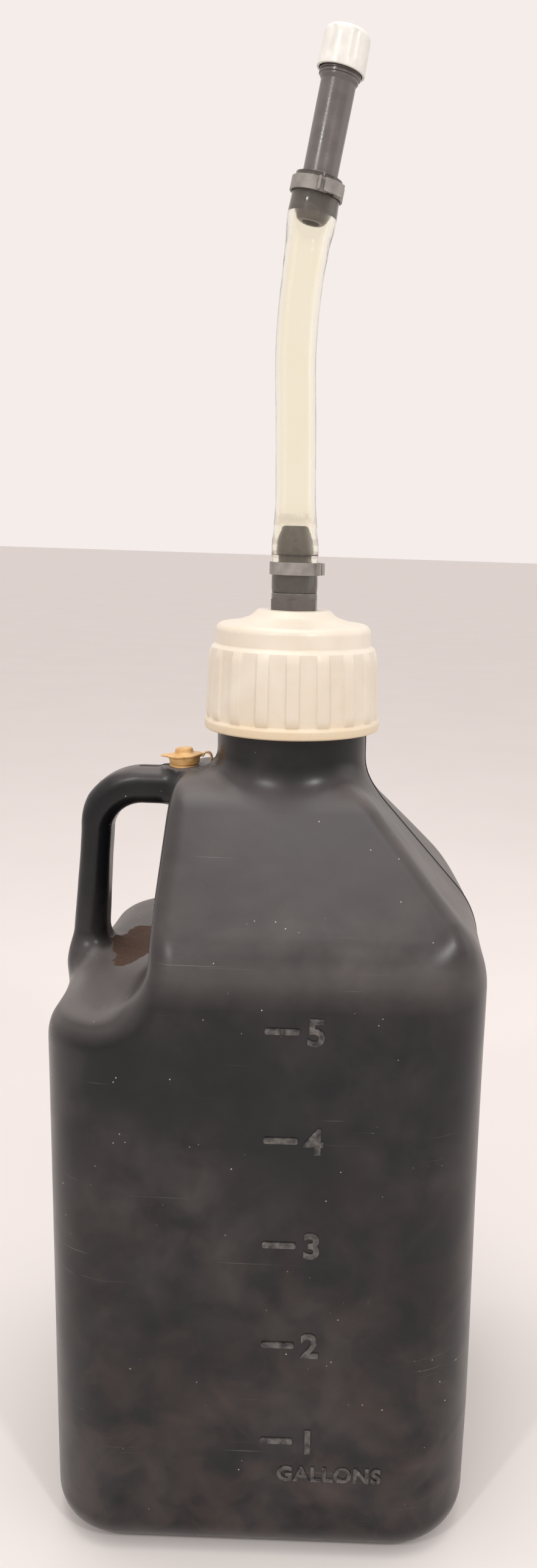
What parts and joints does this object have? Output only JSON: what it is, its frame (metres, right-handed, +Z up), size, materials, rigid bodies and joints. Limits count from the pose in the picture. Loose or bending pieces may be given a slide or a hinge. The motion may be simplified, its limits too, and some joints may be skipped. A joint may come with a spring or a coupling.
{
  "type": "square utility fluid jug with filler hose",
  "caption": "Tall square black plastic fluid jug with side handle, vent plug, ribbed screw cap and a short clear hose ending in a capped pouring nozzle.",
  "frame": {"origin": "centre of the jug's square base, on the surface it stands on", "axes": "+Z up; the graduated front face is at -Y; the carrying handle is on the -X side; +X is away from the handle"},
  "size_m": [0.254, 0.2551, 0.8805],
  "materials": {
    "black_polyethylene": "semi-matte, dusty and scuffed",
    "ivory_polyethylene": "waxy, slightly translucent",
    "amber_plastic": "aged, slightly translucent",
    "clear_vinyl": "clear vinyl, yellowed",
    "grey_nylon": "semi-gloss",
    "clamp_nylon": "satin",
    "white_plastic": "semi-gloss",
    "seal_rubber": "matte",
    "seal_foam": "matte foam"
  },
  "bodies": {
    "jug": {"jug_body": "black_polyethylene", "vent_bushing": "amber_plastic", "vent_strap": "amber_plastic"},
    "vent_plug": {"vent_lid": "amber_plastic"},
    "cap_seal": {"cap_gasket": "seal_foam"},
    "cap": {"main_cap": "ivory_polyethylene", "hose_fitting": "grey_nylon", "fitting_seal_washer": "seal_rubber", "fitting_lock_nut": "grey_nylon", "lower_hose_clamp": "clamp_nylon", "filler_hose": "clear_vinyl"},
    "nozzle": {"pour_nozzle": "grey_nylon", "upper_hose_clamp": "clamp_nylon"},
    "tip_seal": {"nozzle_cap_liner": "seal_foam"},
    "tip_cap": {"nozzle_cap": "white_plastic"}
  },
  "joints": [
    {"name": "cap_lift", "type": "slide", "parent": "jug", "child": "cap_seal", "axis": [0, 0, 1], "range_m": [0, 0.05]},
    {"name": "cap_turn", "type": "hinge", "parent": "cap_seal", "child": "cap", "pos_m": [0.005, 0, 0.482], "axis": [0, 0, 1], "range_deg": [0, 2250]},
    {"name": "hose_flex", "type": "hinge", "parent": "cap", "child": "nozzle", "pos_m": [0.0038, 0, 0.69], "axis": [0, 1, 0], "range_deg": [-50, 60], "stiffness_Nm_per_rad": 0.6, "deforming": ["filler_hose"]},
    {"name": "nozzle_cap_lift", "type": "slide", "parent": "nozzle", "child": "tip_seal", "axis": [0.1908, 0, 0.9816], "range_m": [0, 0.022]},
    {"name": "nozzle_cap_turn", "type": "hinge", "parent": "tip_seal", "child": "tip_cap", "pos_m": [0.02592, 0, 0.85702], "axis": [0.1908, 0, 0.9816], "range_deg": [0, 2640]},
    {"name": "vent_lid_hinge", "type": "hinge", "parent": "jug", "child": "vent_plug", "pos_m": [-0.0502, 0, 0.4632], "axis": [0, 1, 0], "range_deg": [0, 62], "deforming": ["vent_strap"]}
  ],
  "couplings": [
    {"joint": "cap_lift", "follows": "cap_turn", "m_per_rad": 0.0012732},
    {"joint": "nozzle_cap_turn", "follows": "nozzle_cap_lift", "rad_per_m": 2094.4}
  ]
}
